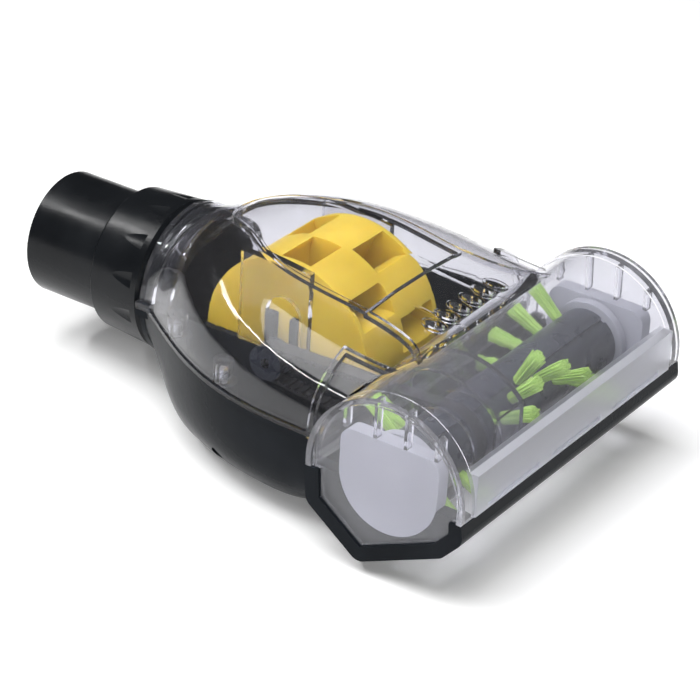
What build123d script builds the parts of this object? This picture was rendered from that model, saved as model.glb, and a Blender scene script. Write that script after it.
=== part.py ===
from build123d import *
import os
from math import asin, cos, degrees, hypot, pi, radians, sin, sqrt

# Vacuum turbo brush, in millimetres.
# The origin is the centre of the wand tube's open mouth. +Y runs out of that mouth, +X to the
# right seen from behind, +Z up. The brush head lies at the far -Y end.

# Wand tube and swivel collar
TUBE_BORE_R = 17.5
TUBE_WALL = 2.0
TUBE_EXPOSED = 26.7
TUBE_SEAT = 15.0
TUBE_RIM_ROUND = 0.6
WAND_STOP = 1.0
COLLAR_LENGTH = 20.2
COLLAR_REAR_R = 22.7
COLLAR_FRONT_R = 24.0
COLLAR_CHAMFER = 1.4
COLLAR_EDGE = 1.0
COLLAR_WALL = 1.9
COLLAR_GAP = 1.5
FLUTE_COUNT = 12
FLUTE_R = 8.4
FLUTE_DEPTH = 0.7
FLUTE_MARGIN = 3.2
SWIVEL_CLEARANCE = 0.25
SWIVEL_LENGTH = 9.0
TRAP_FLANGE_WIDTH = 2.4
TRAP_FLANGE_RISE = 1.4
TRAP_FLANGE_SETBACK = 1.6

# Neck of the turbine housing
NECK_WALL = 2.1
NECK_FLANGE_RISE = 0.9
NECK_FLANGE_WIDTH = 1.8
NECK_LENGTH = 11.0
NECK_RIM_GAP = 1.6
NECK_RIM_WIDTH = 1.3
NECK_SOLID = 6.0
NECK_LUG_REACH = 2.0
NECK_LUG_HEIGHT = 4.4

# Turbine housing, clear cover above and black bowl below
NECK_TO_TURBINE = 50.1
TURBINE_TO_ROLLER = 62.5
BODY_HALF_WIDTH = 54.8
SHOULDER_EASE = 1.25
SHOULDER_FULLNESS = 3
COVER_WALL = 1.5
BOWL_WALL = 1.9
CROWN_HEIGHT = 31.2
CROWN_BEHIND_SHAFT = 17.4
LIP_HEIGHT = 23.8
LIP_AHEAD_OF_ROLLER_TOP = 6.5
BELLY_DEPTH = 33.2
BELLY_SQUARENESS = 4.2
BELLY_SQUARE_RUN = 24.0
BELLY_DEEPENING_RUN = 29.0
BELLY_RISE_BEHIND_HOOD = 17.5
BELLY_RISE_RUN = 37.0
SECTION_COUNT = 14
SECTION_POINTS = 8
COVER_SQUARENESS = 3.0
COVER_SQUARE_RUN = 40.0
BROW_SQUARENESS = 2.65
BROW_RUN = 91.5
PARTING_LIP = 0.7
PARTING_LIP_HEIGHT = 1.3
PANEL_EDGE = [(94.0, 0.0), (82.0, 14.0), (66.5, 23.2), (48.0, 25.9), (30.0, 25.8), (14.0, 29.3), (6.0, 36.0)]
PANEL_RISE = COVER_WALL
PANEL_FRONT_RISE = 0.5
RIDGE_RISE = 0.5
RIDGE_WIDTH = 1.4
RIDGE_OVERHANG = 0.25
PANEL_CREASE_BEHIND_ROLLER = 31.0
SLOT_COUNT = 6
SLOT_PITCH = 6.5
SLOT_WIDTH = 3.4
SLOT_LENGTH = 6.6
SLOT_RIM = 0.9
SLOT_RIM_RISE = 0.7
SLOTS_BEHIND_ROLLER = 14.0
CORNER_RIB_HALF = 39.5
CORNER_RIB_BEHIND_HOOD = 3.0
CORNER_RIB_WIDTH = 1.8

# Brush head
HEAD_WIDTH = 121.0
ROLLER_AXIS_Z = -2.8
HOOD_R = 25.9
HOOD_BAND_RISE = 0.5
HOOD_BAND_WIDTH = 6.5
HOOD_WALL = 1.7
SPLIT_BELOW_AXIS = 2.9
END_WALL = 2.0
END_WALL_INSET = 1.0
END_RIB_COUNT = 4
END_RIB_PITCH = 10.0
END_RIB_THICKNESS = 1.2
END_RIB_DEPTH = 2.6
FRONT_BAND_TOP = 10.3
FRONT_BAND_RISE = 0.8
FRONT_BAND_DEPTH = 4.0
LATCH_SLOT_COUNT = 3
LATCH_SLOT_LENGTH = 27.0
LATCH_SLOT_GAP = 7.0
LATCH_SLOT_HEIGHT = 1.8
LATCH_SLOT_DEPTH = 0.8
LATCH_SLOT_LIFT = 1.0
TRAY_WALL = 2.2
TRAY_RIM = 4.5
TRAY_RIM_THICKNESS = 2.6
TRAY_FRONT_HEIGHT = 5.2
TRAY_FRONT_BULGE = 0.8
TRAY_REAR_OVERHANG = 0.4
TRAY_REAR_HEIGHT = 11.3
TRAY_REAR_DRAFT = 1.2
TRAY_CORNER = 4.0
TRAY_BELOW_BELLY = 5.0
SADDLE_SETBACK = 0.5
SOLE_ANGLE = 24.2
SOLE_DROP = 22.1
SOLE_TOE = 12.4
SOLE_HEEL = 17.5
SUCTION_AHEAD = 9.4
SUCTION_BEHIND = 13.2

# Air path
THROAT_WIDTH = 32.0
THROAT_HEIGHT = 9.5
THROAT_TOP = -6.6

# Turbine
TURBINE_R = 28.8
TURBINE_WIDTH = 37.0
TURBINE_DISC = 1.7
TURBINE_WEB = 1.6
POCKETS_PER_ROW = 7
POCKET_ANGLE = 21.0
POCKET_FLOOR_R = 15.0
POCKET_FLOOR_START = 2.0
POCKET_FLOOR_END = 20.0
POCKET_BACK_BULGE = 1.6
POCKET_FRONT_BULGE = 1.2
TURBINE_TURN = 2.0
TURBINE_SHAFT_R = 1.5
TURBINE_SIDE_GAP = 1.0
CHAMBER_WALL = 2.2
CHAMBER_REAR = 34.0
COVER_WALL_FRONT = 9.0
COVER_WALL_REAR = 15.5
PRONG_WIDTH = 3.0
PRONG_HEIGHT = 12.0

# Roller
ROLLER_CORE_R = 10.3
ROLLER_SHAFT_R = 2.0
ROLLER_GROOVES = 4
ROLLER_GROOVE_WIDTH = 1.6
ROLLER_GROOVE_DEPTH = 0.8
ROLLER_GROOVE_TURN = 31.5
CORE_SPIGOT_STEP = 1.5
CORE_UNDER_PULLEY = 3.4
ROLLER_CLEAR = 1.2
BRISTLE_TIP_R = 22.7
BRISTLE_ROOT_R = 1.3
BRISTLE_END_R = 1.9
BRISTLE_SEAT = 3.0
BRISTLE_CLEAR = 0.5
TUFTS_PER_ROW = 13
TUFT_PITCH = 7.2
TUFT_TWIST = 17.0
TUFT_START = 30.0
END_RING_R = 12.3
END_RING_WIDTH = 3.0
WASHER_THICKNESS = 0.8
WASHER_RISE = 3.0
BLOCK_THICKNESS = 5.0
BLOCK_R = 16.2
BLOCK_TOP = 12.4
BLOCK_CORNER = 4.0
BUSH_WALL = 1.1
BUSH_FLANGE = 0.6
BUSH_FLANGE_RISE = 0.9
BUSH_LENGTH = 4.2

# Belt drive
BELT_PITCH = 2.5
TURBINE_PULLEY_TEETH = 12
ROLLER_PULLEY_TEETH = 24
BELT_WIDTH = 5.0
BELT_BACK = 0.8
BELT_TOOTH_HEIGHT = 0.6
BELT_TOOTH_WIDTH = 1.0
BELT_TOOTH_TAPER = 1.25
BELT_PASSAGE = 3.2
PULLEY_FLANGE = 0.7
PULLEY_FLANGE_RISE = 1.0
PULLEY_GROOVE_DEPTH = 0.8
PULLEY_GROOVE_WIDTH = 1.5
PULLEY_GROOVE_TAPER = 0.7
BELT_GUARD_WALL = 1.2
BELT_GUARD_GAP = 2.6
BELT_GUARD_FRONT = 18.0

# Screws
SCREW_R = 1.45
SCREW_HEAD_R = 2.8
SCREW_HEAD_HEIGHT = 1.8
SCREW_LENGTH = 15.0
SCREW_SHOULDER = 9.0
SCREW_DRIVE_R = 0.9
BOSS_WALL = 1.5
BOSS_INTO_WALL = 0.8
BOSS_ROOF = 1.0
BOSS_WEB = 1.6
BOSS_HEIGHT = 7.0
BOSS_REAR_AHEAD_OF_NECK = 20.0
BOSS_FRONT_BEHIND_SHAFT = 3.5

# Clearances
FIT = 0.05
RUNNING = 0.06
SEAT = 0.15
SHELL_STEP = 1.0

# Places worked out from the sizes above
tube_r = TUBE_BORE_R + TUBE_WALL
collar_rear_y = -TUBE_EXPOSED
collar_front_y = collar_rear_y - COLLAR_LENGTH
neck_y = collar_front_y - COLLAR_GAP
sleeve_r = tube_r + FIT + COLLAR_WALL
trap_r = sleeve_r + TRAP_FLANGE_RISE
neck_bore_r = sleeve_r + SWIVEL_CLEARANCE
neck_r = neck_bore_r + NECK_WALL
flange_r = neck_r + NECK_FLANGE_RISE
turbine_y = neck_y - NECK_TO_TURBINE
turbine_z = 0.0
roller_y = turbine_y - TURBINE_TO_ROLLER
roller_z = ROLLER_AXIS_Z
lip_y = roller_y + LIP_AHEAD_OF_ROLLER_TOP
crown_y = turbine_y + CROWN_BEHIND_SHAFT
split_z = roller_z - SPLIT_BELOW_AXIS
hood_rear_y = roller_y + HOOD_R
hood_shell_r = HOOD_R - HOOD_BAND_RISE
hood_inner_r = hood_shell_r - HOOD_WALL
half_head = HEAD_WIDTH / 2
end_wall_outer_x = half_head - END_WALL_INSET
end_wall_inner_x = end_wall_outer_x - END_WALL
block_inner_x = end_wall_inner_x - SEAT - BLOCK_THICKNESS
washer_inner_x = block_inner_x - SEAT - WASHER_THICKNESS
core_half = washer_inner_x - SEAT
chamber_x = TURBINE_WIDTH / 2 + TURBINE_SIDE_GAP
turbine_bush_outer_r = TURBINE_SHAFT_R + RUNNING + BUSH_WALL
roller_bush_outer_r = ROLLER_SHAFT_R + RUNNING + BUSH_WALL
turbine_pitch_r = TURBINE_PULLEY_TEETH * BELT_PITCH / (2 * pi)
roller_pitch_r = ROLLER_PULLEY_TEETH * BELT_PITCH / (2 * pi)
pulley_width = BELT_WIDTH + 2 * SEAT + 2 * PULLEY_FLANGE
belt_x = -(chamber_x + CHAMBER_WALL + BUSH_FLANGE + 2 * SEAT + pulley_width / 2)
belt_inner_offset = -0.25
roller_seat_r = roller_pitch_r - CORE_UNDER_PULLEY
core_spigot_r = ROLLER_CORE_R - CORE_SPIGOT_STEP
bristle_clear_r = BRISTLE_TIP_R + BRISTLE_CLEAR
tray_front_y = roller_y - HOOD_R
tray_rear_y = roller_y + HOOD_R + TRAY_REAR_OVERHANG
tray_rear_depth = TRAY_REAR_HEIGHT - split_z + TRAY_BELOW_BELLY


def box_between(x0, x1, y0, y1, z0, z1):
    """Box from one corner to the opposite one."""
    place = Pos((x0 + x1) / 2, (y0 + y1) / 2, (z0 + z1) / 2)
    return place * Box(abs(x1 - x0), abs(y1 - y0), abs(z1 - z0))


def rod_x(radius, x0, x1, y, z):
    """Cylinder along X."""
    return Pos((x0 + x1) / 2, y, z) * Rot(0, 90, 0) * Cylinder(radius, abs(x1 - x0))


def rod_y(radius, y0, y1):
    """Cylinder along Y on the tube's axis."""
    return Pos(0, (y0 + y1) / 2, 0) * Rot(90, 0, 0) * Cylinder(radius, abs(y1 - y0))


def rod_z(radius, z0, z1, x, y):
    """Upright cylinder."""
    return Pos(x, y, (z0 + z1) / 2) * Cylinder(radius, abs(z1 - z0))


def side_profile(face_points, x0, x1):
    """Plate along X with a polygon outline given as (y, z) points."""
    outline = Plane.YZ * make_face(Polyline(*face_points, close=True))
    return Pos(x0, 0, 0) * extrude(outline, amount=x1 - x0, dir=(1, 0, 0))


def smooth(share):
    """Rises from 0 to 1 with a level start and end."""
    share = min(max(share, 0.0), 1.0)
    return share * share * (3 - 2 * share)


def half_width(y):
    """Half width of the turbine housing at its parting plane."""
    share = min(max((neck_y - y) / (neck_y - hood_rear_y), 0.0), 1.0)
    return neck_r + (BODY_HALF_WIDTH - neck_r) * (1 - (1 - share ** SHOULDER_EASE) ** SHOULDER_FULLNESS)


def crown(y):
    """Height of the cover on its centre line."""
    if y > crown_y:
        return neck_r + (CROWN_HEIGHT - neck_r) * smooth((neck_y - y) / (neck_y - crown_y))
    return CROWN_HEIGHT - (CROWN_HEIGHT - LIP_HEIGHT) * smooth((crown_y - y) / (crown_y - lip_y))


def belly(y):
    """Depth of the bowl on its centre line."""
    rear = smooth((neck_y - y) / BELLY_DEEPENING_RUN)
    front = smooth((hood_rear_y + BELLY_RISE_BEHIND_HOOD - y) / BELLY_RISE_RUN)
    return neck_r + (BELLY_DEPTH - neck_r) * rear - (BELLY_DEPTH - tray_rear_depth) * front


def quarter_section(y, width, height, squareness):
    """Right upper quarter of a rounded section across the housing."""
    points = []
    for step in range(SECTION_POINTS + 1):
        angle = pi / 2 * step / SECTION_POINTS
        reach = (cos(angle) ** squareness + sin(angle) ** squareness) ** (-1 / squareness)
        points.append((width * reach * cos(angle), height * reach * sin(angle)))
    curve = Spline(*points, tangents=[(0, 1), (-1, 0)])
    plane = Plane(origin=(0, y, 0), x_dir=(1, 0, 0), z_dir=(0, -1, 0))
    return plane * make_face(curve + Line(points[-1], (0, 0)) + Line((0, 0), points[0]))


def stations(rear, front):
    """Evenly spread section places from rear to front."""
    return [rear + (front - rear) * step / (SECTION_COUNT - 1) for step in range(SECTION_COUNT)]


def cover_form(grow, rear, front):
    """Outer form of the clear cover, grown or shrunk by a wall."""
    sections = []
    for y in stations(rear, front):
        behind = smooth((neck_y - y) / COVER_SQUARE_RUN)
        ahead = smooth((lip_y + BROW_RUN - y) / BROW_RUN)
        squareness = 2 + (COVER_SQUARENESS - 2) * behind + (BROW_SQUARENESS - COVER_SQUARENESS) * ahead
        sections.append(quarter_section(y, half_width(y) + grow, crown(y) + grow, squareness))
    half = loft(sections)
    return half + mirror(half, about=Plane.YZ)


def bowl_form(grow, rear, front):
    """Outer form of the black bowl, grown or shrunk by a wall."""
    sections = []
    for y in stations(rear, front):
        behind = smooth((neck_y - y) / BELLY_SQUARE_RUN)
        squareness = 2 + (BELLY_SQUARENESS - 2) * behind
        sections.append(quarter_section(y, half_width(y) + grow, belly(y) + grow, squareness))
    half = mirror(loft(sections), about=Plane.XY)
    return half + mirror(half, about=Plane.YZ)


def sole_point(along, drop):
    """A point (y, z) by its distance along the sole from under the roller and its drop."""
    tilt = radians(SOLE_ANGLE)
    return (roller_y + along * cos(tilt) - drop * sin(tilt), roller_z - along * sin(tilt) - drop * cos(tilt))


def tray_profile(inset, x0, x1, above=0.0):
    """Section of the brush tray below the hood, moved inwards by a wall but not at its top."""
    toe = sole_point(-SOLE_TOE, SOLE_DROP)
    heel = sole_point(SOLE_HEEL, SOLE_DROP)
    corners = [
        (tray_front_y, split_z + inset + above),
        (tray_front_y - TRAY_FRONT_BULGE, split_z - TRAY_FRONT_HEIGHT),
        toe,
        heel,
        (tray_rear_y - TRAY_REAR_DRAFT, split_z - TRAY_REAR_HEIGHT),
        (tray_rear_y, split_z + inset + above),
    ]
    outline = make_face(Polyline(*corners, close=True))
    outline = fillet(outline.vertices().sort_by(Axis.Y)[:4], TRAY_CORNER)
    if inset:
        outline = offset(outline, amount=-inset)
    band = Plane.YZ * outline
    return Pos(x0, 0, 0) * extrude(band, amount=x1 - x0, dir=(1, 0, 0))


def wand_tube():
    """Straight tube that takes the wand, pushed into the collar."""
    length = TUBE_EXPOSED + TUBE_SEAT
    tube = rod_y(tube_r, -length, 0)
    mouth = tube.edges().filter_by(GeomType.CIRCLE).group_by(Axis.Y)[-1]
    return fillet(mouth, TUBE_RIM_ROUND) - rod_y(TUBE_BORE_R, -length - 1, 1)


def grip_collar():
    """Swivel collar: fluted grip, sleeve in the neck and the flange trapped there."""
    sleeve_front_y = neck_y - SWIVEL_LENGTH
    flange_rear_y = sleeve_front_y + TRAP_FLANGE_WIDTH + TRAP_FLANGE_SETBACK
    stop_y = -(TUBE_EXPOSED + TUBE_SEAT) - FIT
    bore_r = tube_r + FIT
    outline = Polyline(
        (bore_r, collar_rear_y),
        (COLLAR_REAR_R - COLLAR_CHAMFER, collar_rear_y),
        (COLLAR_REAR_R, collar_rear_y - COLLAR_CHAMFER),
        (COLLAR_FRONT_R, collar_front_y + COLLAR_EDGE),
        (COLLAR_FRONT_R - COLLAR_EDGE, collar_front_y),
        (sleeve_r, collar_front_y),
        (sleeve_r, flange_rear_y),
        (trap_r, flange_rear_y),
        (trap_r, flange_rear_y - TRAP_FLANGE_WIDTH),
        (sleeve_r, flange_rear_y - TRAP_FLANGE_WIDTH),
        (sleeve_r, sleeve_front_y),
        (TUBE_BORE_R - WAND_STOP, sleeve_front_y),
        (TUBE_BORE_R - WAND_STOP, stop_y),
        (bore_r, stop_y),
        close=True,
    )
    collar = revolve(make_face(outline), Axis.Y)
    flute = rod_y(FLUTE_R, collar_front_y + FLUTE_MARGIN, collar_rear_y - FLUTE_MARGIN)
    reach = COLLAR_FRONT_R + FLUTE_R - FLUTE_DEPTH
    for index in range(FLUTE_COUNT):
        turn = 360 * (index + 0.5) / FLUTE_COUNT
        collar -= Rot(0, turn, 0) * Pos(reach, 0, 0) * flute
    return collar


def neck_ring():
    """Ring round the swivel with its double rim and a lug at each side of the parting plane."""
    front_y = neck_y - NECK_LENGTH
    rim_y = neck_y - NECK_FLANGE_WIDTH - NECK_RIM_GAP
    ring = rod_y(neck_r, front_y, neck_y) + rod_y(flange_r, neck_y - NECK_FLANGE_WIDTH, neck_y)
    ring += rod_y(flange_r, rim_y - NECK_RIM_WIDTH, rim_y)
    reach = flange_r + NECK_LUG_REACH
    return ring + box_between(-reach, reach, rim_y - NECK_RIM_WIDTH, neck_y,
                              -NECK_LUG_HEIGHT / 2, NECK_LUG_HEIGHT / 2)


def neck_cut():
    """Bore of the neck and the groove that traps the collar's flange."""
    groove_front_y = neck_y - SWIVEL_LENGTH + TRAP_FLANGE_SETBACK - SWIVEL_CLEARANCE
    groove_rear_y = groove_front_y + TRAP_FLANGE_WIDTH + 2 * SWIVEL_CLEARANCE
    bore = rod_y(neck_bore_r, neck_y - 2 * NECK_LENGTH, neck_y + 1)
    return bore + rod_y(trap_r + SWIVEL_CLEARANCE, groove_front_y, groove_rear_y)


def hood_space(clearance):
    """Space of the hood above the split, which the housing's front edge follows."""
    space = rod_x(HOOD_R + clearance, -half_head, half_head, roller_y, roller_z)
    return space & box_between(-HEAD_WIDTH, HEAD_WIDTH, roller_y - 2 * HOOD_R, roller_y + 2 * HOOD_R,
                               split_z, 2 * HOOD_R)


def belt_passage(y0, y1):
    """Passage for the belt between the turbine and the roller."""
    half = pulley_width / 2 + SEAT
    reach = roller_pitch_r + BELT_PASSAGE
    return box_between(belt_x - half, belt_x + half, y0, y1, roller_z - reach, roller_z + reach)


def panel_prism(inset, front, rear):
    """Upright prism with the raised panel's outline, which splays to two tips at the front."""
    edge = [(half, roller_y + behind) for behind, half in PANEL_EDGE]
    before = [(-edge[1][0], edge[1][1])] + edge[:-1]
    after = edge[1:] + edge[-1:]
    points = []
    for (x, y), start, end in zip(edge, before, after):
        run = hypot(end[0] - start[0], end[1] - start[1])
        points.append((x + inset * (end[1] - start[1]) / run, y - inset * (end[0] - start[0]) / run))
    tip_y = points[-1][1]
    right = make_face(Spline(*points, tangents=[(1, 0), (1, -1)])
                      + Line(points[-1], (0, tip_y)) + Line((0, tip_y), points[0]))
    prism = extrude(right + mirror(right, about=Plane.YZ), amount=2 * CROWN_HEIGHT)
    return prism & box_between(-HEAD_WIDTH, HEAD_WIDTH, front, rear, 0, 2 * CROWN_HEIGHT)


def panel_ridge(form):
    """Ridge along the panel's edge, open at the front."""
    ring = panel_prism(-RIDGE_OVERHANG, lip_y, neck_y) - panel_prism(RIDGE_WIDTH, 2 * roller_y, neck_y)
    return form & ring


def corner_rib(side, form):
    """Rib that frames a front corner of the cover, beside the hood."""
    rear_y = hood_rear_y + CORNER_RIB_BEHIND_HOOD
    inner_x = side * CORNER_RIB_HALF
    frame = box_between(inner_x, side * HEAD_WIDTH, lip_y, rear_y, 0, 2 * CROWN_HEIGHT)
    frame -= box_between(inner_x + side * CORNER_RIB_WIDTH, side * HEAD_WIDTH, 2 * roller_y,
                         rear_y - CORNER_RIB_WIDTH, -1, 3 * CROWN_HEIGHT)
    return form & frame


def cover_side_wall(side, inner):
    """Clear wall over a turbine bearing, arched round the prongs."""
    x0 = side * chamber_x
    x1 = side * (chamber_x + CHAMBER_WALL)
    wall = box_between(x0, x1, turbine_y - COVER_WALL_FRONT, turbine_y + COVER_WALL_REAR, 0, CROWN_HEIGHT)
    arch_r = turbine_bush_outer_r + PRONG_WIDTH + 3 * SEAT
    wall -= rod_x(arch_r, x0 - side, x1 + side, turbine_y, PRONG_HEIGHT)
    wall -= box_between(x0 - side, x1 + side, turbine_y - arch_r, turbine_y + arch_r, -1, PRONG_HEIGHT)
    return wall & inner


def screw_places():
    """Centres of the four screws, close inside the side walls."""
    rear_y = neck_y - BOSS_REAR_AHEAD_OF_NECK
    front_y = turbine_y + BOSS_FRONT_BEHIND_SHAFT
    places = []
    for y in (rear_y, front_y):
        x = half_width(y) - BOWL_WALL - SCREW_HEAD_R - BOSS_WALL + BOSS_INTO_WALL
        places += [(-x, y), (x, y)]
    return places


def turbine_cover():
    """Clear upper shell over the turbine."""
    outer = cover_form(0, neck_y, lip_y)
    inner = cover_form(-COVER_WALL, neck_y - NECK_SOLID, lip_y - SHELL_STEP)
    raised = cover_form(PANEL_RISE, neck_y, lip_y)
    raised_front = cover_form(PANEL_FRONT_RISE, neck_y, lip_y)
    rim = cover_form(PARTING_LIP, neck_y, lip_y)
    crease_y = roller_y + PANEL_CREASE_BEHIND_ROLLER
    cover = outer + (rim & box_between(-HEAD_WIDTH, HEAD_WIDTH, lip_y, 0, 0, PARTING_LIP_HEIGHT))
    cover += raised & panel_prism(0, crease_y, neck_y)
    cover += raised_front & panel_prism(0, lip_y, crease_y)
    cover += panel_ridge(cover_form(PANEL_RISE + RIDGE_RISE, neck_y, lip_y))
    for side in (-1, 1):
        cover += corner_rib(side, raised)
    slot_y = roller_y + SLOTS_BEHIND_ROLLER
    slot_rim = cover_form(PANEL_FRONT_RISE + SLOT_RIM_RISE, neck_y, lip_y)
    slots = [(index - (SLOT_COUNT - 1) / 2) * SLOT_PITCH for index in range(SLOT_COUNT)]
    rims = Pos(0, slot_y) * Ellipse(SLOT_WIDTH / 2 + SLOT_RIM, SLOT_LENGTH / 2 + SLOT_RIM)
    holes = Pos(0, slot_y) * Ellipse(SLOT_WIDTH / 2, SLOT_LENGTH / 2)
    cover += slot_rim & extrude(Sketch() + [Pos(x, 0) * rims for x in slots], amount=2 * CROWN_HEIGHT)
    cover -= inner
    cover -= outer & panel_prism(RIDGE_WIDTH, crease_y + COVER_WALL, neck_y)
    middle = cover_form(-COVER_WALL / 2, neck_y, lip_y)
    under_panel = cover_form(COVER_WALL / 2, neck_y, lip_y) & panel_prism(RIDGE_WIDTH / 2, crease_y, neck_y)
    for side in (-1, 1):
        cover += cover_side_wall(side, middle + under_panel)
    for x, y in screw_places():
        web = box_between(x, 2 * x, y - BOSS_WEB / 2, y + BOSS_WEB / 2, 0, BOSS_HEIGHT)
        cover += (web + rod_z(SCREW_R + BOSS_WALL, 0, BOSS_HEIGHT, x, y)) & middle
        cover -= rod_z(SCREW_R + FIT, -1, BOSS_HEIGHT - BOSS_ROOF, x, y)
    cover -= extrude(Sketch() + [Pos(x, 0) * holes for x in slots], amount=2 * CROWN_HEIGHT)
    upper = box_between(-HEAD_WIDTH, HEAD_WIDTH, neck_y - 2 * NECK_LENGTH, neck_y + 1, 0, 2 * flange_r)
    cover += neck_ring() & upper
    cover -= neck_cut()
    return cover - hood_space(SEAT)


def brush_hood():
    """Clear hood over the roller with its two end walls and the frosted front band."""
    half_space = box_between(-HEAD_WIDTH, HEAD_WIDTH, roller_y - 2 * HOOD_R, roller_y + 2 * HOOD_R,
                             split_z + SEAT, 2 * HOOD_R)
    shell = rod_x(hood_shell_r, -end_wall_outer_x, end_wall_outer_x, roller_y, roller_z)
    for side in (-1, 1):
        shell += rod_x(HOOD_R, side * (half_head - HOOD_BAND_WIDTH), side * half_head, roller_y, roller_z)
    band_front_y = roller_y - hood_shell_r - FRONT_BAND_RISE
    shell += box_between(-half_head + HOOD_BAND_WIDTH, half_head - HOOD_BAND_WIDTH, band_front_y,
                         band_front_y + FRONT_BAND_DEPTH, split_z, roller_z + FRONT_BAND_TOP)
    shell -= rod_x(hood_inner_r, -end_wall_inner_x, end_wall_inner_x, roller_y, roller_z)
    for side in (-1, 1):
        shell -= rod_x(HOOD_R - HOOD_WALL, side * end_wall_outer_x, side * (half_head + 1),
                       roller_y, roller_z)
    for index in range(LATCH_SLOT_COUNT):
        centre = (index - (LATCH_SLOT_COUNT - 1) / 2) * (LATCH_SLOT_LENGTH + LATCH_SLOT_GAP)
        shell -= box_between(centre - LATCH_SLOT_LENGTH / 2, centre + LATCH_SLOT_LENGTH / 2,
                             band_front_y - 1, band_front_y + LATCH_SLOT_DEPTH,
                             split_z + LATCH_SLOT_LIFT, split_z + LATCH_SLOT_LIFT + LATCH_SLOT_HEIGHT)
    hood = shell & half_space
    for side in (-1, 1):
        x0 = side * end_wall_inner_x
        x1 = side * end_wall_outer_x
        hood += tray_profile(TRAY_RIM + SEAT, min(x0, x1), max(x0, x1), 2 * SEAT)
        middle = rod_x(hood_inner_r + HOOD_WALL / 2, x0, x0 - side * END_RIB_DEPTH, roller_y, roller_z)
        for index in range(END_RIB_COUNT):
            y = roller_y + (index - (END_RIB_COUNT - 1) / 2) * END_RIB_PITCH
            hood += middle & box_between(x0, x0 - side * END_RIB_DEPTH, y - END_RIB_THICKNESS / 2,
                                         y + END_RIB_THICKNESS / 2, roller_z + BLOCK_TOP + SEAT, 2 * HOOD_R)
    return hood - belt_passage(roller_y + HOOD_R / 2, roller_y + 2 * HOOD_R)


def bearing_block(side):
    """Frosted D-shaped block that carries a roller bush."""
    x0 = side * block_inner_x
    x1 = side * (block_inner_x + BLOCK_THICKNESS)
    low, high = min(x0, x1), max(x0, x1)
    outline = Circle(BLOCK_R) + Pos(0, BLOCK_TOP / 2) * Rectangle(2 * BLOCK_R, BLOCK_TOP)
    outline &= Pos(0, BLOCK_TOP - BLOCK_R) * Rectangle(2 * BLOCK_R, 2 * BLOCK_R)
    outline = fillet(outline.vertices().group_by(Axis.Y)[-1], BLOCK_CORNER)
    block = Pos(low, roller_y, roller_z) * extrude(Plane.YZ * outline, amount=high - low, dir=(1, 0, 0))
    cup = block_inner_x + BUSH_LENGTH
    block -= rod_x(roller_bush_outer_r + FIT, side * (block_inner_x - 1), side * cup, roller_y, roller_z)
    rebate_x = side * (block_inner_x + BUSH_FLANGE + 2 * FIT)
    block -= rod_x(roller_bush_outer_r + BUSH_FLANGE_RISE + 2 * FIT, side * (block_inner_x - 1), rebate_x,
                   roller_y, roller_z)
    return block


def roller_bush(side):
    """Flanged bush in a bearing block."""
    x0 = side * (block_inner_x + FIT)
    x1 = side * (block_inner_x + BUSH_LENGTH - FIT)
    bush = rod_x(roller_bush_outer_r, x0, x1, roller_y, roller_z)
    bush += rod_x(roller_bush_outer_r + BUSH_FLANGE_RISE, x0, x0 + side * BUSH_FLANGE, roller_y, roller_z)
    return bush - rod_x(ROLLER_SHAFT_R + RUNNING, x0 - side, x1 + side, roller_y, roller_z)


def turbine_bush(side):
    """Flanged bush between the two prongs of a chamber wall."""
    x0 = side * (chamber_x - FIT)
    x1 = side * (chamber_x + CHAMBER_WALL + BUSH_FLANGE)
    bush = rod_x(turbine_bush_outer_r, x0, x1, turbine_y, turbine_z)
    flange_x = x1 - side * (BUSH_FLANGE - FIT)
    bush += rod_x(turbine_bush_outer_r + BUSH_FLANGE_RISE, flange_x, x1, turbine_y, turbine_z)
    return bush - rod_x(TURBINE_SHAFT_R + RUNNING, x0 - side, x1 + side, turbine_y, turbine_z)


def chamber_side_wall(side, form):
    """Black wall beside the turbine with the two prongs that hold its bush."""
    x0 = side * chamber_x
    x1 = side * (chamber_x + CHAMBER_WALL)
    wall = box_between(x0, x1, hood_rear_y, turbine_y + CHAMBER_REAR, -2 * BELLY_DEPTH, 0) & form
    reach = turbine_bush_outer_r + PRONG_WIDTH
    prongs = box_between(x0, x1, turbine_y - reach, turbine_y + reach, -PRONG_WIDTH, PRONG_HEIGHT)
    wall += prongs
    wall -= rod_x(turbine_bush_outer_r + FIT, x0 - side, x1 + side, turbine_y, turbine_z)
    slot = turbine_bush_outer_r + FIT
    return wall - box_between(x0 - side, x1 + side, turbine_y - slot, turbine_y + slot, 0, 2 * PRONG_HEIGHT)


def block_saddle(side):
    """Black wall across the tray, hollowed to seat a bearing block."""
    x0 = side * (block_inner_x + SADDLE_SETBACK)
    x1 = side * (end_wall_inner_x - SEAT)
    saddle = tray_profile(TRAY_WALL / 2, min(x0, x1), max(x0, x1))
    return saddle - rod_x(BLOCK_R + SEAT, x0 - side, x1 + side, roller_y, roller_z)


def suction_mouth():
    """Opening in the sole under the roller, square to the sole."""
    half = core_half + SADDLE_SETBACK
    mouth = Box(2 * half, SUCTION_AHEAD + SUCTION_BEHIND, 2 * TRAY_RIM)
    place = Pos(0, *sole_point((SUCTION_BEHIND - SUCTION_AHEAD) / 2, SOLE_DROP))
    return place * Rot(-SOLE_ANGLE, 0, 0) * mouth + rod_x(bristle_clear_r, -half, half, roller_y, roller_z)


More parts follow.
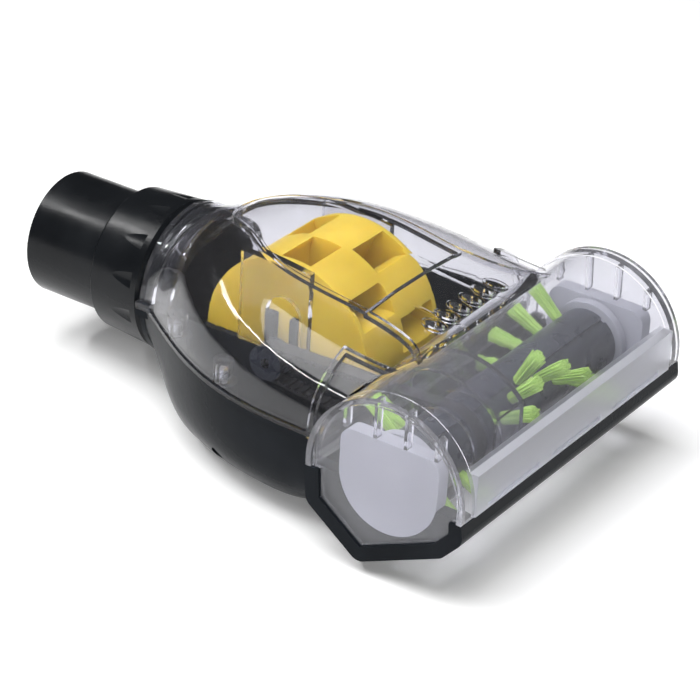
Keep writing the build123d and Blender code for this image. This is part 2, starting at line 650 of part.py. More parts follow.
def lower_housing():
    """Black moulding: bowl under the turbine and tray under the roller."""
    front_y = tray_rear_y - TRAY_REAR_DRAFT
    bowl = bowl_form(0, neck_y, front_y)
    rim = bowl_form(PARTING_LIP, neck_y, front_y)
    bowl += rim & box_between(-HEAD_WIDTH, HEAD_WIDTH, hood_rear_y, 0, -PARTING_LIP_HEIGHT, 0)
    inside_x = half_head - TRAY_RIM_THICKNESS
    body = bowl + tray_profile(0, -half_head, half_head)
    body -= tray_profile(TRAY_WALL, -inside_x, inside_x, 1.0)
    body -= tray_profile(TRAY_RIM, -half_head - 1, half_head + 1, 1.0)
    body -= bowl_form(-BOWL_WALL, neck_y - NECK_SOLID, hood_rear_y + BOWL_WALL + SEAT)
    middle = bowl_form(-BOWL_WALL / 2, neck_y, hood_rear_y)
    for side in (-1, 1):
        body += chamber_side_wall(side, middle)
        body += block_saddle(side)
    for x, y in screw_places():
        body += rod_z(SCREW_HEAD_R + BOSS_WALL, -2 * BELLY_DEPTH, 0, x, y) & middle
        body -= rod_z(SCREW_HEAD_R + SEAT, -2 * BELLY_DEPTH, SCREW_HEAD_HEIGHT - SCREW_SHOULDER, x, y)
        body -= rod_z(SCREW_R + SEAT, -2 * BELLY_DEPTH, 1, x, y)
    lower = box_between(-HEAD_WIDTH, HEAD_WIDTH, neck_y - 2 * NECK_LENGTH, neck_y + 1, -2 * flange_r, 0)
    body += neck_ring() & lower
    body -= neck_cut()
    body -= hood_space(SEAT)
    wall_front_y = hood_rear_y - TRAY_RIM
    wall_rear_y = hood_rear_y + 2 * BOWL_WALL
    body -= box_between(-THROAT_WIDTH / 2, THROAT_WIDTH / 2, wall_front_y, wall_rear_y,
                        THROAT_TOP - THROAT_HEIGHT, THROAT_TOP)
    body -= belt_passage(wall_front_y, wall_rear_y)
    return body - suction_mouth()


def pocket_outline():
    """Curved scoop of one turbine pocket, in the wheel's plane."""
    half = radians(POCKET_ANGLE / 2)
    low = radians(POCKET_FLOOR_START)
    high = radians(POCKET_FLOOR_END)
    rim = TURBINE_R + 1
    start = (-rim * sin(half), rim * cos(half))
    end = (rim * sin(half), rim * cos(half))
    back = (POCKET_FLOOR_R * sin(low), POCKET_FLOOR_R * cos(low))
    front = (POCKET_FLOOR_R * sin(high), POCKET_FLOOR_R * cos(high))
    back_middle = ((start[0] + back[0]) / 2 + POCKET_BACK_BULGE, (start[1] + back[1]) / 2)
    front_middle = ((end[0] + front[0]) / 2 + POCKET_FRONT_BULGE, (end[1] + front[1]) / 2)
    outline = ThreePointArc(start, back_middle, back) + Line(back, front)
    return make_face(outline + ThreePointArc(front, front_middle, end) + Line(end, start))


def turbine_wheel():
    """Yellow wheel: end discs, a middle web and two staggered rows of pockets."""
    half = TURBINE_WIDTH / 2
    wheel = rod_x(TURBINE_R, -half, half, 0, 0)
    rows = [(-half + TURBINE_DISC, -TURBINE_WEB / 2, 0.0), (TURBINE_WEB / 2, half - TURBINE_DISC, 0.5)]
    for x0, x1, stagger in rows:
        scoop = Pos(x0, 0, 0) * extrude(Plane.YZ * pocket_outline(), amount=x1 - x0, dir=(1, 0, 0))
        for index in range(POCKETS_PER_ROW):
            turn = TURBINE_TURN + 360 * (index + stagger) / POCKETS_PER_ROW
            wheel -= Rot(turn, 0, 0) * scoop
    wheel -= rod_x(TURBINE_SHAFT_R + FIT, -half - 1, half + 1, 0, 0)
    return Pos(0, turbine_y, turbine_z) * wheel


def turbine_shaft():
    """Steel shaft of the turbine, out through the left bush to its pulley."""
    left = belt_x - pulley_width / 2
    right = chamber_x + CHAMBER_WALL + BUSH_FLANGE
    return rod_x(TURBINE_SHAFT_R, left, right, turbine_y, turbine_z)


def roller_shaft():
    """Steel shaft through the roller, carried in both bearing blocks."""
    reach = block_inner_x + BUSH_LENGTH - 2 * FIT
    return rod_x(ROLLER_SHAFT_R, -reach, reach, roller_y, roller_z)


def tuft_places():
    """Place along X and turn of each tuft: two rows that twist away from the middle."""
    clear = pulley_width / 2 + BELT_GUARD_GAP + BELT_GUARD_WALL + BRISTLE_END_R + BRISTLE_CLEAR
    places = []
    for row in range(2):
        for index in range(TUFTS_PER_ROW):
            step = index - (TUFTS_PER_ROW - 1) / 2
            x = step * TUFT_PITCH
            if abs(x - belt_x) > clear:
                places.append((x, 180 * row + TUFT_START + TUFT_TWIST * abs(step)))
    return places


def tuft(grow):
    """One tapered tuft standing in the roller along +Z."""
    foot = ROLLER_CORE_R - BRISTLE_SEAT
    height = BRISTLE_TIP_R - foot
    body = Cone(BRISTLE_ROOT_R, BRISTLE_END_R, height, align=(Align.CENTER, Align.CENTER, Align.MIN))
    if grow:
        body = Cylinder(BRISTLE_END_R, height, align=(Align.CENTER, Align.CENTER, Align.MIN))
        foot -= grow
    return Pos(0, 0, foot) * body


def placed_tufts(grow):
    """Every tuft, or the hole for every tuft, on the roller."""
    return [Pos(x, roller_y, roller_z) * Rot(turn, 0, 0) * tuft(grow) for x, turn in tuft_places()]


def roller_core():
    """Dark roller with shallow grooves, tuft holes and a waist for its pulley."""
    core = rod_x(ROLLER_CORE_R, -core_half, core_half, roller_y, roller_z)
    for index in range(ROLLER_GROOVES):
        groove = Pos(0, 0, ROLLER_CORE_R) * Box(3 * core_half, ROLLER_GROOVE_WIDTH, 2 * ROLLER_GROOVE_DEPTH)
        turn = ROLLER_GROOVE_TURN + 360 * index / ROLLER_GROOVES
        core -= Pos(0, roller_y, roller_z) * Rot(turn, 0, 0) * groove
    half = pulley_width / 2 + SEAT
    waist = rod_x(2 * ROLLER_CORE_R, belt_x - half, belt_x + half, roller_y, roller_z)
    core -= waist - rod_x(roller_seat_r, belt_x - half - 1, belt_x + half + 1, roller_y, roller_z)
    for side in (-1, 1):
        x0 = side * (core_half - END_RING_WIDTH - SEAT)
        step = rod_x(2 * ROLLER_CORE_R, x0, side * (core_half + 1), roller_y, roller_z)
        core -= step - rod_x(core_spigot_r, x0 - side, side * (core_half + 2), roller_y, roller_z)
    core -= placed_tufts(FIT)
    return core - rod_x(ROLLER_SHAFT_R + FIT, -core_half - 1, core_half + 1, roller_y, roller_z)


def end_ring(side):
    """Pale ring on the roller's end."""
    x0 = side * (core_half - END_RING_WIDTH)
    x1 = side * core_half
    ring = rod_x(END_RING_R, x0, x1, roller_y, roller_z)
    return ring - rod_x(core_spigot_r + FIT, x0 - side, x1 + side, roller_y, roller_z)


def roller_washers():
    """Thrust washers between the roller and its bearing blocks."""
    washers = []
    for side in (-1, 1):
        x0 = side * washer_inner_x
        x1 = side * (washer_inner_x + WASHER_THICKNESS)
        disc = rod_x(ROLLER_SHAFT_R + WASHER_RISE, x0, x1, roller_y, roller_z)
        washers.append(disc - rod_x(ROLLER_SHAFT_R + FIT, x0 - side, x1 + side, roller_y, roller_z))
    return washers


def toothed_pulley(teeth, pitch_r, bore_r, phase):
    """Pulley with trapezoid grooves, centred on the belt and turned to mesh with it."""
    half = BELT_WIDTH / 2 + SEAT
    tip_r = pitch_r + belt_inner_offset
    pulley = rod_x(tip_r, -half, half, 0, 0)
    floor_r = tip_r - PULLEY_GROOVE_DEPTH
    wide = PULLEY_GROOVE_WIDTH / 2
    narrow = wide * PULLEY_GROOVE_TAPER
    groove = side_profile([(-wide, tip_r), (-wide, pitch_r + 1), (wide, pitch_r + 1), (wide, tip_r),
                           (narrow, floor_r), (-narrow, floor_r)], -half - 1, half + 1)
    for index in range(teeth):
        pulley -= Rot(phase + 360 * index / teeth, 0, 0) * groove
    for side in (-1, 1):
        pulley += rod_x(tip_r + PULLEY_FLANGE_RISE, side * half, side * (half + PULLEY_FLANGE), 0, 0)
    return pulley - rod_x(bore_r, -pulley_width, pulley_width, 0, 0)


def belt_geometry():
    """Lengths and angles of the open belt round both pulleys."""
    dy = turbine_y - roller_y
    dz = turbine_z - roller_z
    centres = hypot(dy, dz)
    slope = asin(dz / centres)
    lean = asin((roller_pitch_r - turbine_pitch_r) / centres)
    straight = sqrt(centres ** 2 - (roller_pitch_r - turbine_pitch_r) ** 2)
    return slope, lean, straight


def belt_path(reach):
    """Point (y, z) and outward angle on the belt's pitch line, from the roller's front."""
    slope, lean, straight = belt_geometry()
    wrap_roller = (pi / 2 + lean) * roller_pitch_r
    wrap_turbine = (pi - 2 * lean) * turbine_pitch_r
    top_out = slope + pi / 2 - lean
    if reach <= wrap_roller:
        out = slope + pi - reach / roller_pitch_r
        return (roller_y + roller_pitch_r * cos(out), roller_z + roller_pitch_r * sin(out)), out
    if reach <= wrap_roller + straight:
        start = (roller_y + roller_pitch_r * cos(top_out), roller_z + roller_pitch_r * sin(top_out))
        run = reach - wrap_roller
        ahead = top_out - pi / 2
        return (start[0] + run * cos(ahead), start[1] + run * sin(ahead)), top_out
    out = top_out - (reach - wrap_roller - straight) / turbine_pitch_r
    if reach <= wrap_roller + straight + wrap_turbine:
        return (turbine_y + turbine_pitch_r * cos(out), turbine_z + turbine_pitch_r * sin(out)), out
    bottom_out = slope - pi / 2 + lean
    start = (turbine_y + turbine_pitch_r * cos(bottom_out), turbine_z + turbine_pitch_r * sin(bottom_out))
    run = reach - wrap_roller - straight - wrap_turbine
    if run <= straight:
        ahead = bottom_out - pi / 2
        return (start[0] + run * cos(ahead), start[1] + run * sin(ahead)), bottom_out
    out = bottom_out - (run - straight) / roller_pitch_r
    return (roller_y + roller_pitch_r * cos(out), roller_z + roller_pitch_r * sin(out)), out


def belt_length():
    """Length of the belt's pitch line."""
    slope, lean, straight = belt_geometry()
    return 2 * straight + (pi + 2 * lean) * roller_pitch_r + (pi - 2 * lean) * turbine_pitch_r


def belt_loop(offset_out):
    """Solid filled by the belt's loop, its outline moved out from the pitch line."""
    slope, lean, straight = belt_geometry()
    half = BELT_WIDTH / 2
    big = roller_pitch_r + offset_out
    small = turbine_pitch_r + offset_out
    loop = rod_x(big, -half, half, roller_y, roller_z) + rod_x(small, -half, half, turbine_y, turbine_z)
    corners = []
    for radius, y, z, out in ((big, roller_y, roller_z, slope + pi / 2 - lean),
                              (small, turbine_y, turbine_z, slope + pi / 2 - lean),
                              (small, turbine_y, turbine_z, slope - pi / 2 + lean),
                              (big, roller_y, roller_z, slope - pi / 2 + lean)):
        corners.append((y + radius * cos(out), z + radius * sin(out)))
    return loop + side_profile(corners, -half, half)


def drive_belt():
    """Toothed belt round both pulleys."""
    count = round(belt_length() / BELT_PITCH)
    belt = belt_loop(belt_inner_offset + BELT_BACK + FIT) - belt_loop(belt_inner_offset + FIT)
    half = BELT_WIDTH / 2
    wide = BELT_TOOTH_WIDTH / 2
    root = belt_inner_offset + FIT + BELT_BACK / 2
    tip = belt_inner_offset - BELT_TOOTH_HEIGHT
    broad = wide * BELT_TOOTH_TAPER
    tooth = side_profile([(-wide, tip), (wide, tip), (broad, root), (-broad, root)], -half, half)
    teeth = []
    for index in range(count):
        (y, z), out = belt_path(belt_length() * index / count)
        teeth.append(Pos(0, y, z) * Rot(degrees(out) - 90, 0, 0) * tooth)
    return Pos(belt_x, 0, 0) * (belt + teeth)


def roller_pulley():
    """Pulley on the roller's waist, a groove facing the belt's first tooth."""
    slope, lean, straight = belt_geometry()
    wheel = toothed_pulley(ROLLER_PULLEY_TEETH, roller_pitch_r, roller_seat_r + FIT, degrees(slope) + 90)
    return Pos(belt_x, roller_y, roller_z) * wheel


def turbine_pulley():
    """Pulley on the turbine's shaft, turned to the belt tooth nearest its far side."""
    count = round(belt_length() / BELT_PITCH)
    (y, z), out = belt_path(belt_length() * round(count / 2) / count)
    wheel = toothed_pulley(TURBINE_PULLEY_TEETH, turbine_pitch_r, TURBINE_SHAFT_R + FIT, degrees(out) - 90)
    return Pos(belt_x, turbine_y, turbine_z) * wheel


def belt_guard():
    """Clear arch inside the hood, open below, round the belt on the roller."""
    half = pulley_width / 2 + BELT_GUARD_GAP
    outer_r = hood_inner_r - 2 * SEAT
    reach = half + BELT_GUARD_WALL
    guard = rod_x(outer_r, belt_x - reach, belt_x + reach, roller_y, roller_z)
    guard &= box_between(-half_head, half_head, roller_y - BELT_GUARD_FRONT, roller_y + BELT_GUARD_FRONT,
                         split_z, 2 * HOOD_R)
    space = rod_x(outer_r - BELT_GUARD_WALL, belt_x - half, belt_x + half, roller_y, roller_z)
    space &= box_between(-half_head, half_head, roller_y - BELT_GUARD_FRONT + BELT_GUARD_WALL,
                         roller_y + 2 * HOOD_R, -2 * HOOD_R, 2 * HOOD_R)
    guard -= space
    window_r = ROLLER_CORE_R + ROLLER_CLEAR
    guard -= rod_x(window_r, -half_head, half_head, roller_y, roller_z)
    guard -= box_between(-half_head, half_head, roller_y - window_r, roller_y + window_r,
                         -2 * HOOD_R, roller_z)
    return guard - belt_passage(roller_y + ROLLER_CORE_R, roller_y + 2 * HOOD_R)


def housing_screws():
    """Pan-head screws, driven from below into the cover's bosses."""
    screws = []
    head_top = -SCREW_SHOULDER + SCREW_HEAD_HEIGHT - FIT
    for x, y in screw_places():
        screw = rod_z(SCREW_HEAD_R, head_top - SCREW_HEAD_HEIGHT, head_top, x, y)
        screw += rod_z(SCREW_R, head_top, head_top + SCREW_LENGTH - 2 * SCREW_HEAD_HEIGHT, x, y)
        underside = head_top - SCREW_HEAD_HEIGHT
        screw -= rod_z(SCREW_DRIVE_R, underside - 1, underside + SCREW_HEAD_HEIGHT / 2, x, y)
        screws.append(screw)
    return screws


def save(name, shape):
    """Write one sub-part; a list of solids becomes one group."""
    solids = shape if isinstance(shape, list) else [shape]
    parts = [solid for item in solids for solid in item.solids()]
    body = parts[0] if len(parts) == 1 else Compound(children=parts)
    export_step(body, os.path.join("parts", name + ".step"))


os.makedirs("parts", exist_ok=True)
save("wand_tube", wand_tube())
save("grip_collar", grip_collar())
save("turbine_cover", turbine_cover())
save("lower_housing", lower_housing())
save("brush_hood", brush_hood())
save("belt_guard", belt_guard())
save("bearing_block_left", bearing_block(-1))
save("bearing_block_right", bearing_block(1))
save("roller_bush_left", roller_bush(-1))
save("roller_bush_right", roller_bush(1))
save("turbine_bush_left", turbine_bush(-1))
save("turbine_bush_right", turbine_bush(1))
save("turbine_wheel", turbine_wheel())
save("turbine_shaft", turbine_shaft())
save("turbine_pulley", turbine_pulley())
save("roller_core", roller_core())
save("bristle_tufts", placed_tufts(0))
save("roller_shaft", roller_shaft())
save("roller_pulley", roller_pulley())
save("end_ring_left", end_ring(-1))
save("end_ring_right", end_ring(1))
save("roller_washers", roller_washers())
save("drive_belt", drive_belt())
save("housing_screws", housing_screws())
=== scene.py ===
import math
import random

import bmesh
import bpy
from mathutils import Matrix, Vector


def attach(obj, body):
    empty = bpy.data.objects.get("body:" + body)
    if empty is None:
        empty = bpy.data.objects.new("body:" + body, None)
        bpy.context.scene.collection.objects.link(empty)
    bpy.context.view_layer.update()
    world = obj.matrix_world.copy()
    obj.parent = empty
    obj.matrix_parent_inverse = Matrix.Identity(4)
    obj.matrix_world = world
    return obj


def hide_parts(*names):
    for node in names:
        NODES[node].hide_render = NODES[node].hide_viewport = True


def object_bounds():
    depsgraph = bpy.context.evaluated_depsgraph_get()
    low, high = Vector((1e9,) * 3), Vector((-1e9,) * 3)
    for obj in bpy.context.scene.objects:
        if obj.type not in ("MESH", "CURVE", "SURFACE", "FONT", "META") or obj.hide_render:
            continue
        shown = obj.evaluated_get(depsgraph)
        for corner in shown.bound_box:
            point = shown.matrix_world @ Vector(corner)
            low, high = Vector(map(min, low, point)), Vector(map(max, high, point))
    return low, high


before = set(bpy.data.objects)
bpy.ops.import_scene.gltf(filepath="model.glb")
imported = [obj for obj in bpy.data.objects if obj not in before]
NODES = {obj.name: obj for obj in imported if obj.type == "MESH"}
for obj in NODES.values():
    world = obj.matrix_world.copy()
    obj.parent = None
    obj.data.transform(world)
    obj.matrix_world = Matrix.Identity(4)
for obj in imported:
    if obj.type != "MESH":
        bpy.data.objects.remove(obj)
CAD_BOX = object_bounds()

# Places on the part, in metres
ROLLER_AXIS = Vector((0.0, -0.161, -0.0028))
HOOD_BAND_BACK_Y = -0.1818
HOOD_BAND_TOP_Z = 0.0076
HOOD_BAND_HALF_X = 0.0541
MIDDLE = Vector((0.0, -0.11, 0.0))

# Clear walls: how much they bend light, their tint, and the tint of the light that they let through
CLEAR_IOR = 1.36
CLEAR_TINT = (0.83, 0.83, 0.87)
LIGHT_TINT = (0.88, 0.88, 0.90)
FROST_LIGHT_TINT = (0.85, 0.85, 0.88)
FROST_LIGHT_SHARE = 0.5

# The part of a pattern's range over which a tone or a gloss changes
PATCHES = (0.35, 0.65)
SCRATCHES = (0.55, 0.75)
WHOLE_RANGE = (0.0, 1.0)


# Materials

class Surface:
    """A node material with one Principled shader and helpers to drive it."""

    def __init__(self, name):
        self.material = bpy.data.materials.new(name)
        self.material.use_nodes = True
        self.nodes = self.material.node_tree.nodes
        self.links = self.material.node_tree.links
        self.shader = self.nodes["Principled BSDF"]
        self.place = self.nodes.new("ShaderNodeTexCoord")

    def set(self, **values):
        """Sets sockets of the shader; an underscore stands for a space in a socket's name."""
        for key, value in values.items():
            self.shader.inputs[key.replace("_", " ")].default_value = value

    def node(self, kind, **fields):
        node = self.nodes.new(kind)
        for key, value in fields.items():
            setattr(node, key, value)
        return node

    def link(self, out, into):
        self.links.new(out, into)

    def drive(self, key, source):
        """Lets a node's output set one socket of the shader."""
        self.link(source, self.shader.inputs[key])

    def noise(self, scale, detail=3.0, stretch=None):
        """Noise in the part's own space; a small factor in stretch draws it out along that axis."""
        texture = self.node("ShaderNodeTexNoise")
        texture.inputs["Scale"].default_value = scale
        texture.inputs["Detail"].default_value = detail
        source = self.place.outputs["Object"]
        if stretch:
            mapping = self.node("ShaderNodeMapping")
            mapping.inputs["Scale"].default_value = stretch
            self.link(source, mapping.inputs["Vector"])
            source = mapping.outputs["Vector"]
        self.link(source, texture.inputs["Vector"])
        return texture.outputs["Fac"]

    def colour(self, source, low, high, over=PATCHES):
        """A colour that goes from low to high while the source goes over a range."""
        node = self.node("ShaderNodeValToRGB")
        for element, position, tone in zip(node.color_ramp.elements, over, (low, high)):
            element.position = position
            element.color = (*tone, 1)
        self.link(source, node.inputs["Fac"])
        return node.outputs["Color"]

    def number(self, source, low, high, over=PATCHES):
        """A number that goes from low to high while the source goes over a range."""
        node = self.node("ShaderNodeMapRange")
        node.inputs["From Min"].default_value, node.inputs["From Max"].default_value = over
        node.inputs["To Min"].default_value = low
        node.inputs["To Max"].default_value = high
        self.link(source, node.inputs["Value"])
        return node.outputs["Result"]

    def bump(self, height, distance, strength=1.0):
        node = self.node("ShaderNodeBump")
        node.inputs["Strength"].default_value = strength
        node.inputs["Distance"].default_value = distance
        self.link(height, node.inputs["Height"])
        self.drive("Normal", node.outputs["Normal"])

    def side_of(self, axis, limit, above):
        """1 on one side of a plane across an axis, 0 on the other."""
        parts = self.node("ShaderNodeSeparateXYZ")
        self.link(self.place.outputs["Object"], parts.inputs["Vector"])
        node = self.node("ShaderNodeMath", operation="GREATER_THAN" if above else "LESS_THAN")
        node.inputs[1].default_value = limit
        self.link(parts.outputs[axis], node.inputs[0])
        return node.outputs["Value"]

    def both(self, a, b):
        node = self.node("ShaderNodeMath", operation="MULTIPLY")
        self.link(a, node.inputs[0])
        self.link(b, node.inputs[1])
        return node.outputs["Value"]

    def pass_light(self, tint, share=1.0):
        """Lets lamps through as the real thin wall does, where a ray only looks for a lamp."""
        path = self.node("ShaderNodeLightPath")
        clear = self.node("ShaderNodeBsdfTransparent")
        clear.inputs["Color"].default_value = (*tint, 1)
        mix = self.node("ShaderNodeMixShader")
        source = path.outputs["Is Shadow Ray"]
        if share < 1:
            scale = self.node("ShaderNodeMath", operation="MULTIPLY")
            scale.inputs[1].default_value = share
            self.link(source, scale.inputs[0])
            source = scale.outputs["Value"]
        self.link(source, mix.inputs["Fac"])
        self.link(self.shader.outputs["BSDF"], mix.inputs[1])
        self.link(clear.outputs["BSDF"], mix.inputs[2])
        self.link(mix.outputs["Shader"], self.nodes["Material Output"].inputs["Surface"])


def moulded(name, dark, light, roughness, grain=900.0, grain_depth=0.00003, shine=0.5):
    """Opaque moulded plastic: slight tone and gloss changes and a fine grain."""
    s = Surface(name)
    s.set(Specular_IOR_Level=shine)
    s.drive("Base Color", s.colour(s.noise(38.0), dark, light))
    s.drive("Roughness", s.number(s.noise(160.0, detail=4.0), roughness * 0.85, roughness * 1.2))
    s.bump(s.noise(grain, detail=2.0), grain_depth)
    return s


def metal(name, tone, roughness, grain_stretch=None):
    """Turned or sintered metal with a fine grain, drawn out where it was turned."""
    s = Surface(name)
    s.set(Metallic=1.0)
    darker = tuple(0.82 * channel for channel in tone)
    s.drive("Base Color", s.colour(s.noise(90.0), darker, tone))
    s.drive("Roughness", s.number(s.noise(600.0, stretch=grain_stretch), roughness * 0.7, roughness * 1.3))
    s.bump(s.noise(1400.0, detail=2.0, stretch=grain_stretch), 0.00002)
    return s


def yellow_plastic():
    """The turbine wheel's plastic, which lets a little light sink in."""
    s = moulded("yellow_plastic", (0.56, 0.395, 0.036), (0.66, 0.475, 0.056), 0.34)
    s.set(Subsurface_Weight=0.5, Subsurface_Radius=(0.010, 0.007, 0.002), Subsurface_Scale=0.5)
    return s


def clear_moulding(name):
    """What both clear plastics share: a slight waviness, and light that passes to the inside."""
    s = Surface(name)
    s.set(IOR=CLEAR_IOR)
    s.bump(s.noise(60.0, detail=2.0), 0.00012, strength=0.35)
    s.pass_light(LIGHT_TINT)
    return s


def clear_plastic():
    """Grey-tinted clear plastic with fine scratches along the part."""
    s = clear_moulding("clear_plastic")
    s.set(Base_Color=(*CLEAR_TINT, 1), Transmission_Weight=0.992)
    scratches = s.noise(700.0, detail=5.0, stretch=(1.0, 0.06, 1.0))
    s.drive("Roughness", s.number(scratches, 0.04, 0.09, SCRATCHES))
    return s


def clear_hood():
    """The hood's clear plastic, frosted in a band along its front, where the mould is textured."""
    s = clear_moulding("clear_hood")
    low_in_front = s.both(s.side_of("Y", HOOD_BAND_BACK_Y, above=False),
                          s.side_of("Z", HOOD_BAND_TOP_Z, above=False))
    between_ends = s.both(s.side_of("X", HOOD_BAND_HALF_X, above=False),
                          s.side_of("X", -HOOD_BAND_HALF_X, above=True))
    band = s.both(low_in_front, between_ends)
    s.drive("Base Color", s.colour(band, CLEAR_TINT, (0.62, 0.625, 0.67), WHOLE_RANGE))
    s.drive("Roughness", s.number(band, 0.05, 0.36, WHOLE_RANGE))
    s.drive("Transmission Weight", s.number(band, 0.95, 0.74, WHOLE_RANGE))
    return s


def frosted_plastic():
    """Milky plastic that lets some light through but shows nothing behind it."""
    s = Surface("frosted_plastic")
    s.set(IOR=1.49, Transmission_Weight=0.5)
    s.set(Subsurface_Weight=0.3, Subsurface_Radius=(0.004, 0.004, 0.004), Subsurface_Scale=0.5)
    s.drive("Base Color", s.colour(s.noise(45.0), (0.47, 0.475, 0.515), (0.54, 0.545, 0.59)))
    s.drive("Roughness", s.number(s.noise(900.0), 0.42, 0.58))
    s.bump(s.noise(2500.0), 0.00004)
    s.pass_light(FROST_LIGHT_TINT, FROST_LIGHT_SHARE)
    return s


def green_bristle():
    """Nylon bristle; each filament has its own green."""
    s = Surface("green_bristle")
    s.set(Subsurface_Weight=0.1, Subsurface_Radius=(0.001, 0.002, 0.0005), Subsurface_Scale=0.3)
    filament = s.node("ShaderNodeNewGeometry").outputs["Random Per Island"]
    s.drive("Base Color", s.colour(filament, (0.26, 0.46, 0.055), (0.42, 0.64, 0.13), WHOLE_RANGE))
    s.drive("Roughness", s.number(s.noise(400.0), 0.34, 0.5))
    return s


BLACK = moulded("black_plastic", (0.0060, 0.0075, 0.0095), (0.0100, 0.0120, 0.0150), 0.20, shine=0.05)
GRIP = moulded("black_grip", (0.0060, 0.0068, 0.0080), (0.0100, 0.0112, 0.0130), 0.22,
               grain=1500.0, shine=0.16)
DARK = moulded("dark_plastic", (0.020, 0.023, 0.030), (0.032, 0.036, 0.046), 0.30, shine=0.4)
RUBBER = moulded("black_rubber", (0.010, 0.010, 0.011), (0.020, 0.020, 0.021), 0.62,
                 grain=2200.0, grain_depth=0.00006, shine=0.3)
YELLOW = yellow_plastic()
STEEL = metal("steel", (0.60, 0.61, 0.63), 0.28, grain_stretch=(0.05, 1.0, 1.0))
BRONZE = metal("bronze", (0.52, 0.36, 0.18), 0.45)
CLEAR = clear_plastic()
HOOD = clear_hood()
FROST = frosted_plastic()
BRISTLE = green_bristle()

LOOKS = {
    "wand_tube": GRIP, "grip_collar": GRIP, "lower_housing": BLACK,
    "turbine_cover": CLEAR, "brush_hood": HOOD, "belt_guard": CLEAR,
    "bearing_block_left": FROST, "bearing_block_right": FROST,
    "end_ring_left": FROST, "end_ring_right": FROST,
    "roller_bush_left": BRONZE, "roller_bush_right": BRONZE,
    "turbine_bush_left": BRONZE, "turbine_bush_right": BRONZE,
    "turbine_wheel": YELLOW, "turbine_shaft": STEEL, "roller_shaft": STEEL,
    "roller_washers": STEEL, "housing_screws": STEEL,
    "turbine_pulley": DARK, "roller_pulley": DARK, "roller_core": DARK,
    "drive_belt": RUBBER, "bristle_tufts": BRISTLE,
}
for name, surface in LOOKS.items():
    mesh = NODES[name].data
    mesh.materials.clear()
    mesh.materials.append(surface.material)


# Bristles: each solid tuft of the frame becomes a bundle of filaments

# Filament: its radius, the share that its tip is thinner, its sides and its lengths of straight rod
FILAMENT_R = 0.00026
FILAMENT_TAPER = 0.12
FILAMENT_SIDES = 5
FILAMENT_LENGTHS = 3

# Bundle: where it starts and ends from the roller's axis, and how far it spreads there
FILAMENTS = 64
BUNDLE_ROOT = 0.0098
BUNDLE_TIP = 0.0225
BUNDLE_ROOT_R = 0.0015
BUNDLE_TIP_R = 0.0022
BUNDLE_CROWN = 0.0004
TURN_TO_NEXT = 2.39996

# What differs from filament to filament and from bundle to bundle
SEED = 7
LEAN = 0.0004
TURN_JITTER = 0.15
WEAR = 0.0006
TIP_SPREAD = (0.92, 1.08)
BEND = (-0.0002, 0.0003)
SAME_POINT = 1e-6


def take_island(left):
    """Takes one connected piece out of a set of vertices and returns its points."""
    stack = [left.pop()]
    island = []
    while stack:
        vert = stack.pop()
        island.append(vert.co.copy())
        for edge in vert.link_edges:
            other = edge.other_vert(vert)
            if other in left:
                left.remove(other)
                stack.append(other)
    return island


def tuft_centres(node):
    """Centre of each loose piece of a node's mesh, in order along the roller."""
    mesh = bmesh.new()
    mesh.from_mesh(node.data)
    bmesh.ops.remove_doubles(mesh, verts=mesh.verts, dist=SAME_POINT)
    left = set(mesh.verts)
    centres = []
    while left:
        island = take_island(left)
        low = Vector([min(c[i] for c in island) for i in range(3)])
        high = Vector([max(c[i] for c in island) for i in range(3)])
        centres.append((low + high) / 2)
    mesh.free()
    return sorted(centres, key=lambda c: (round(c.x, 5), c.z))


def add_filament(bm, root, tip, bend):
    """A thin bent rod, open at its hidden root and cut flat at its tip."""
    axis = (tip - root).normalized()
    side = axis.orthogonal().normalized()
    across = axis.cross(side)
    angles = [2 * math.pi * k / FILAMENT_SIDES for k in range(FILAMENT_SIDES)]
    rings = []
    for step in range(FILAMENT_LENGTHS + 1):
        t = step / FILAMENT_LENGTHS
        centre = root.lerp(tip, t) + bend * t * t
        r = FILAMENT_R * (1.0 - FILAMENT_TAPER * t)
        rings.append([bm.verts.new(centre + r * (math.cos(a) * side + math.sin(a) * across)) for a in angles])
    for low, high in zip(rings, rings[1:]):
        for k in range(FILAMENT_SIDES):
            j = (k + 1) % FILAMENT_SIDES
            bm.faces.new((low[k], low[j], high[j], high[k])).smooth = True
    bm.faces.new(rings[-1])


def add_bundle(bm, centre, rng):
    """Filaments set in a spiral, which spread from the tuft's hole and lean together."""
    foot = Vector((centre.x, ROLLER_AXIS.y, ROLLER_AXIS.z))
    out = (centre - foot).normalized()
    side = Vector((1, 0, 0))
    across = out.cross(side)
    lean = rng.uniform(-LEAN, LEAN) * side + rng.uniform(-LEAN, LEAN) * across
    for index in range(FILAMENTS):
        share = math.sqrt((index + 0.5) / FILAMENTS)
        angle = index * TURN_TO_NEXT + rng.uniform(-TURN_JITTER, TURN_JITTER)
        spread = math.cos(angle) * side + math.sin(angle) * across
        root = foot + out * BUNDLE_ROOT + spread * share * BUNDLE_ROOT_R
        reach = BUNDLE_TIP - rng.uniform(0.0, WEAR) - BUNDLE_CROWN * share
        tip = foot + out * reach + spread * share * BUNDLE_TIP_R * rng.uniform(*TIP_SPREAD)
        add_filament(bm, root, tip, lean + spread * rng.uniform(*BEND))


def bristle_bundles():
    rng = random.Random(SEED)
    bm = bmesh.new()
    for centre in tuft_centres(NODES["bristle_tufts"]):
        add_bundle(bm, centre, rng)
    mesh = bpy.data.meshes.new("bristle_bundles")
    bm.to_mesh(mesh)
    bm.free()
    mesh.materials.append(BRISTLE.material)
    bundles = bpy.data.objects.new("bristle_bundles", mesh)
    bpy.context.scene.collection.objects.link(bundles)
    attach(bundles, "roller")
    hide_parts("bristle_tufts")


bristle_bundles()


# Studio

FLOOR_SIZE = 8
FLOOR_GAP = 0.0002

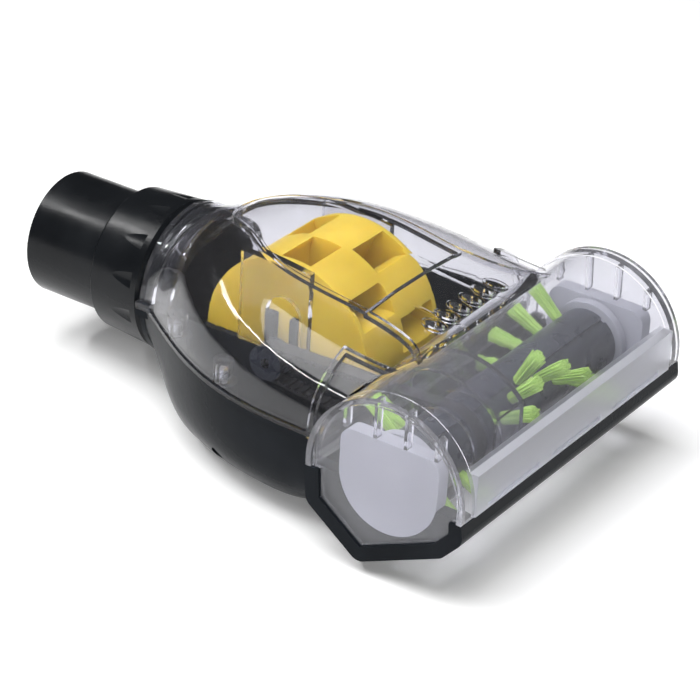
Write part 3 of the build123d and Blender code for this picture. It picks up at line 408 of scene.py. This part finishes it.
# The sky's brightness low down and overhead, and the heights of a direction between which it changes
SKY_HEIGHTS = (0.45, 0.95)
SKY_DIM = 0.25
SKY_BRIGHT = 1.6

# Place in metres, size in metres and power in watts of each lamp; all of them face the part's middle
LAMPS = {
    "key": ((-0.20, -0.10, 0.95), (1.0, 0.8), 12.0),
    "back": ((-0.15, 0.50, 0.62), (0.34, 0.06), 1.1),
    "strip_left": ((-0.43, 0.32, 0.66), (0.80, 0.022), 2.8),
    "strip_front": ((-0.62, -0.55, 0.20), (0.02, 0.50), 1.5),
}

# The photograph's camera, solved from the part's known forms; lens and sensor in millimetres
CAMERA_PLACE = Vector((-0.65841, -0.53241, 0.42536))
CAMERA_RIGHT = Vector((0.56539, -0.82300, 0.05473))
CAMERA_UP = Vector((0.36985, 0.31228, 0.87504))
CAMERA_AHEAD = Vector((0.73725, 0.47450, -0.48095))
CAMERA_LENS = 154.3
CAMERA_SENSOR = 36.0
CAMERA_REACH = 20.0


def add_floor():
    """A plain pale floor, which glows a little to look as white as the photograph's ground."""
    low = CAD_BOX[0]
    bpy.ops.mesh.primitive_plane_add(size=FLOOR_SIZE, location=(0, 0, low[2] - FLOOR_GAP))
    floor = bpy.context.object
    floor.name = "floor"
    s = Surface("floor")
    s.set(Roughness=1.0, Specular_IOR_Level=0.0, Emission_Color=(1, 1, 1, 1), Emission_Strength=0.14)
    s.drive("Base Color", s.colour(s.noise(3.0), (0.93, 0.93, 0.93), (0.95, 0.95, 0.95)))
    floor.data.materials.append(s.material)


def add_world():
    """A soft white sky, bright overhead and dim towards the horizon."""
    world = bpy.data.worlds.new("studio")
    bpy.context.scene.world = world
    world.use_nodes = True
    nodes, links = world.node_tree.nodes, world.node_tree.links
    place = nodes.new("ShaderNodeTexCoord")
    parts = nodes.new("ShaderNodeSeparateXYZ")
    fade = nodes.new("ShaderNodeMapRange")
    fade.inputs["From Min"].default_value, fade.inputs["From Max"].default_value = SKY_HEIGHTS
    fade.inputs["To Min"].default_value = SKY_DIM
    fade.inputs["To Max"].default_value = SKY_BRIGHT
    links.new(place.outputs["Generated"], parts.inputs["Vector"])
    links.new(parts.outputs["Z"], fade.inputs["Value"])
    links.new(fade.outputs["Result"], nodes["Background"].inputs["Strength"])


def add_lamp(name, place, size, power):
    data = bpy.data.lights.new(name, "AREA")
    data.shape = "RECTANGLE"
    data.size, data.size_y = size
    data.energy = power
    lamp = bpy.data.objects.new(name, data)
    lamp.location = place
    lamp.rotation_euler = (MIDDLE - Vector(place)).to_track_quat("-Z", "Y").to_euler()
    bpy.context.scene.collection.objects.link(lamp)


def add_camera():
    data = bpy.data.cameras.new("camera")
    data.lens = CAMERA_LENS
    data.sensor_width = CAMERA_SENSOR
    data.clip_end = CAMERA_REACH
    camera = bpy.data.objects.new("camera", data)
    turn = Matrix((CAMERA_RIGHT, CAMERA_UP, -CAMERA_AHEAD)).transposed().to_4x4()
    camera.matrix_world = Matrix.Translation(CAMERA_PLACE) @ turn
    bpy.context.scene.collection.objects.link(camera)
    bpy.context.scene.camera = camera


def set_view():
    """Plain colours, and enough bounces for light to get through several clear walls."""
    scene = bpy.context.scene
    scene.view_settings.view_transform = "Standard"
    scene.view_settings.look = "None"
    scene.cycles.max_bounces = 20
    scene.cycles.transmission_bounces = 18
    scene.cycles.transparent_max_bounces = 24
    scene.cycles.glossy_bounces = 6
    scene.cycles.diffuse_bounces = 4
    scene.cycles.sample_clamp_indirect = 6.0


add_floor()
add_world()
for name, (place, size, power) in LAMPS.items():
    add_lamp(name, place, size, power)
add_camera()
set_view()
